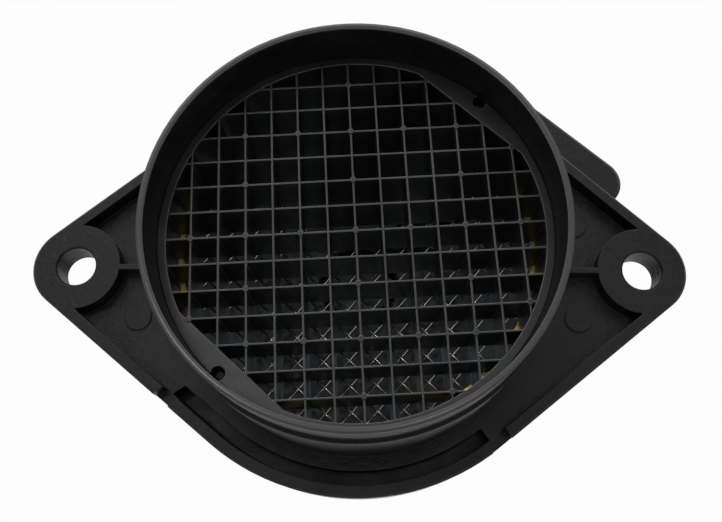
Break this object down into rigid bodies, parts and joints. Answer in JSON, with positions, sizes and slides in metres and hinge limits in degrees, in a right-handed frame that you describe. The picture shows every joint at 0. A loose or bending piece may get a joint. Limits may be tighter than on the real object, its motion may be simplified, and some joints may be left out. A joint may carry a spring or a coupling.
{
  "type": "mass airflow sensor",
  "caption": "Round intake duct with a diamond flange, a stepped inlet collar over a square-celled flow grid and wire screen, an outlet spigot, and an electronics module with a hot-film probe.",
  "frame": {"origin": "centre of the outlet end face, on the duct's axis", "axes": "+Z along the duct's axis from the outlet towards the inlet; +X along the line through the two mounting holes; +Y towards the side that carries the electronics module, which lies at 48.5 degrees from +X"},
  "size_m": [0.137, 0.1135, 0.104],
  "materials": {
    "housing_plastic": "satin black glass-filled moulding",
    "grid_plastic": "satin black moulding",
    "module_plastic": "satin black moulding",
    "probe_plastic": "satin black moulding",
    "frame_metal": "bright rolled strip",
    "screen_wire": "bright drawn wire",
    "seal_rubber": "matte",
    "screw_steel": "zinc plated",
    "plate_aluminium": "rolled",
    "board_ceramic": "fired ceramic",
    "element_ceramic": "fired ceramic with a thin metal film",
    "chip_plastic": "moulded epoxy",
    "capacitor_ceramic": "fired ceramic",
    "resistor_film": "coated film on ceramic",
    "lead_wire": "drawn nickel wire",
    "pin_metal": "tinned"
  },
  "bodies": {
    "root": {"duct_housing": "housing_plastic", "flow_grid": "grid_plastic", "screen_frame": "frame_metal", "wire_screen": "screen_wire", "module_carrier": "module_plastic", "module_lid": "module_plastic", "lid_seal": "seal_rubber", "port_seal": "seal_rubber", "module_screws": "screw_steel", "measuring_tube": "probe_plastic", "heated_element": "element_ceramic", "temperature_element": "element_ceramic", "heat_plate": "plate_aluminium", "circuit_board": "board_ceramic", "control_chip": "chip_plastic", "output_transistor": "chip_plastic", "filter_capacitor_1": "capacitor_ceramic", "filter_capacitor_2": "capacitor_ceramic", "filter_capacitor_3": "capacitor_ceramic", "sense_resistor_1": "resistor_film", "sense_resistor_2": "resistor_film", "element_lead_1": "lead_wire", "element_lead_2": "lead_wire", "element_lead_3": "lead_wire", "element_lead_4": "lead_wire", "connector_pin_1": "pin_metal", "connector_pin_2": "pin_metal", "connector_pin_3": "pin_metal", "connector_pin_4": "pin_metal", "connector_pin_5": "pin_metal"}
  },
  "joints": []
}
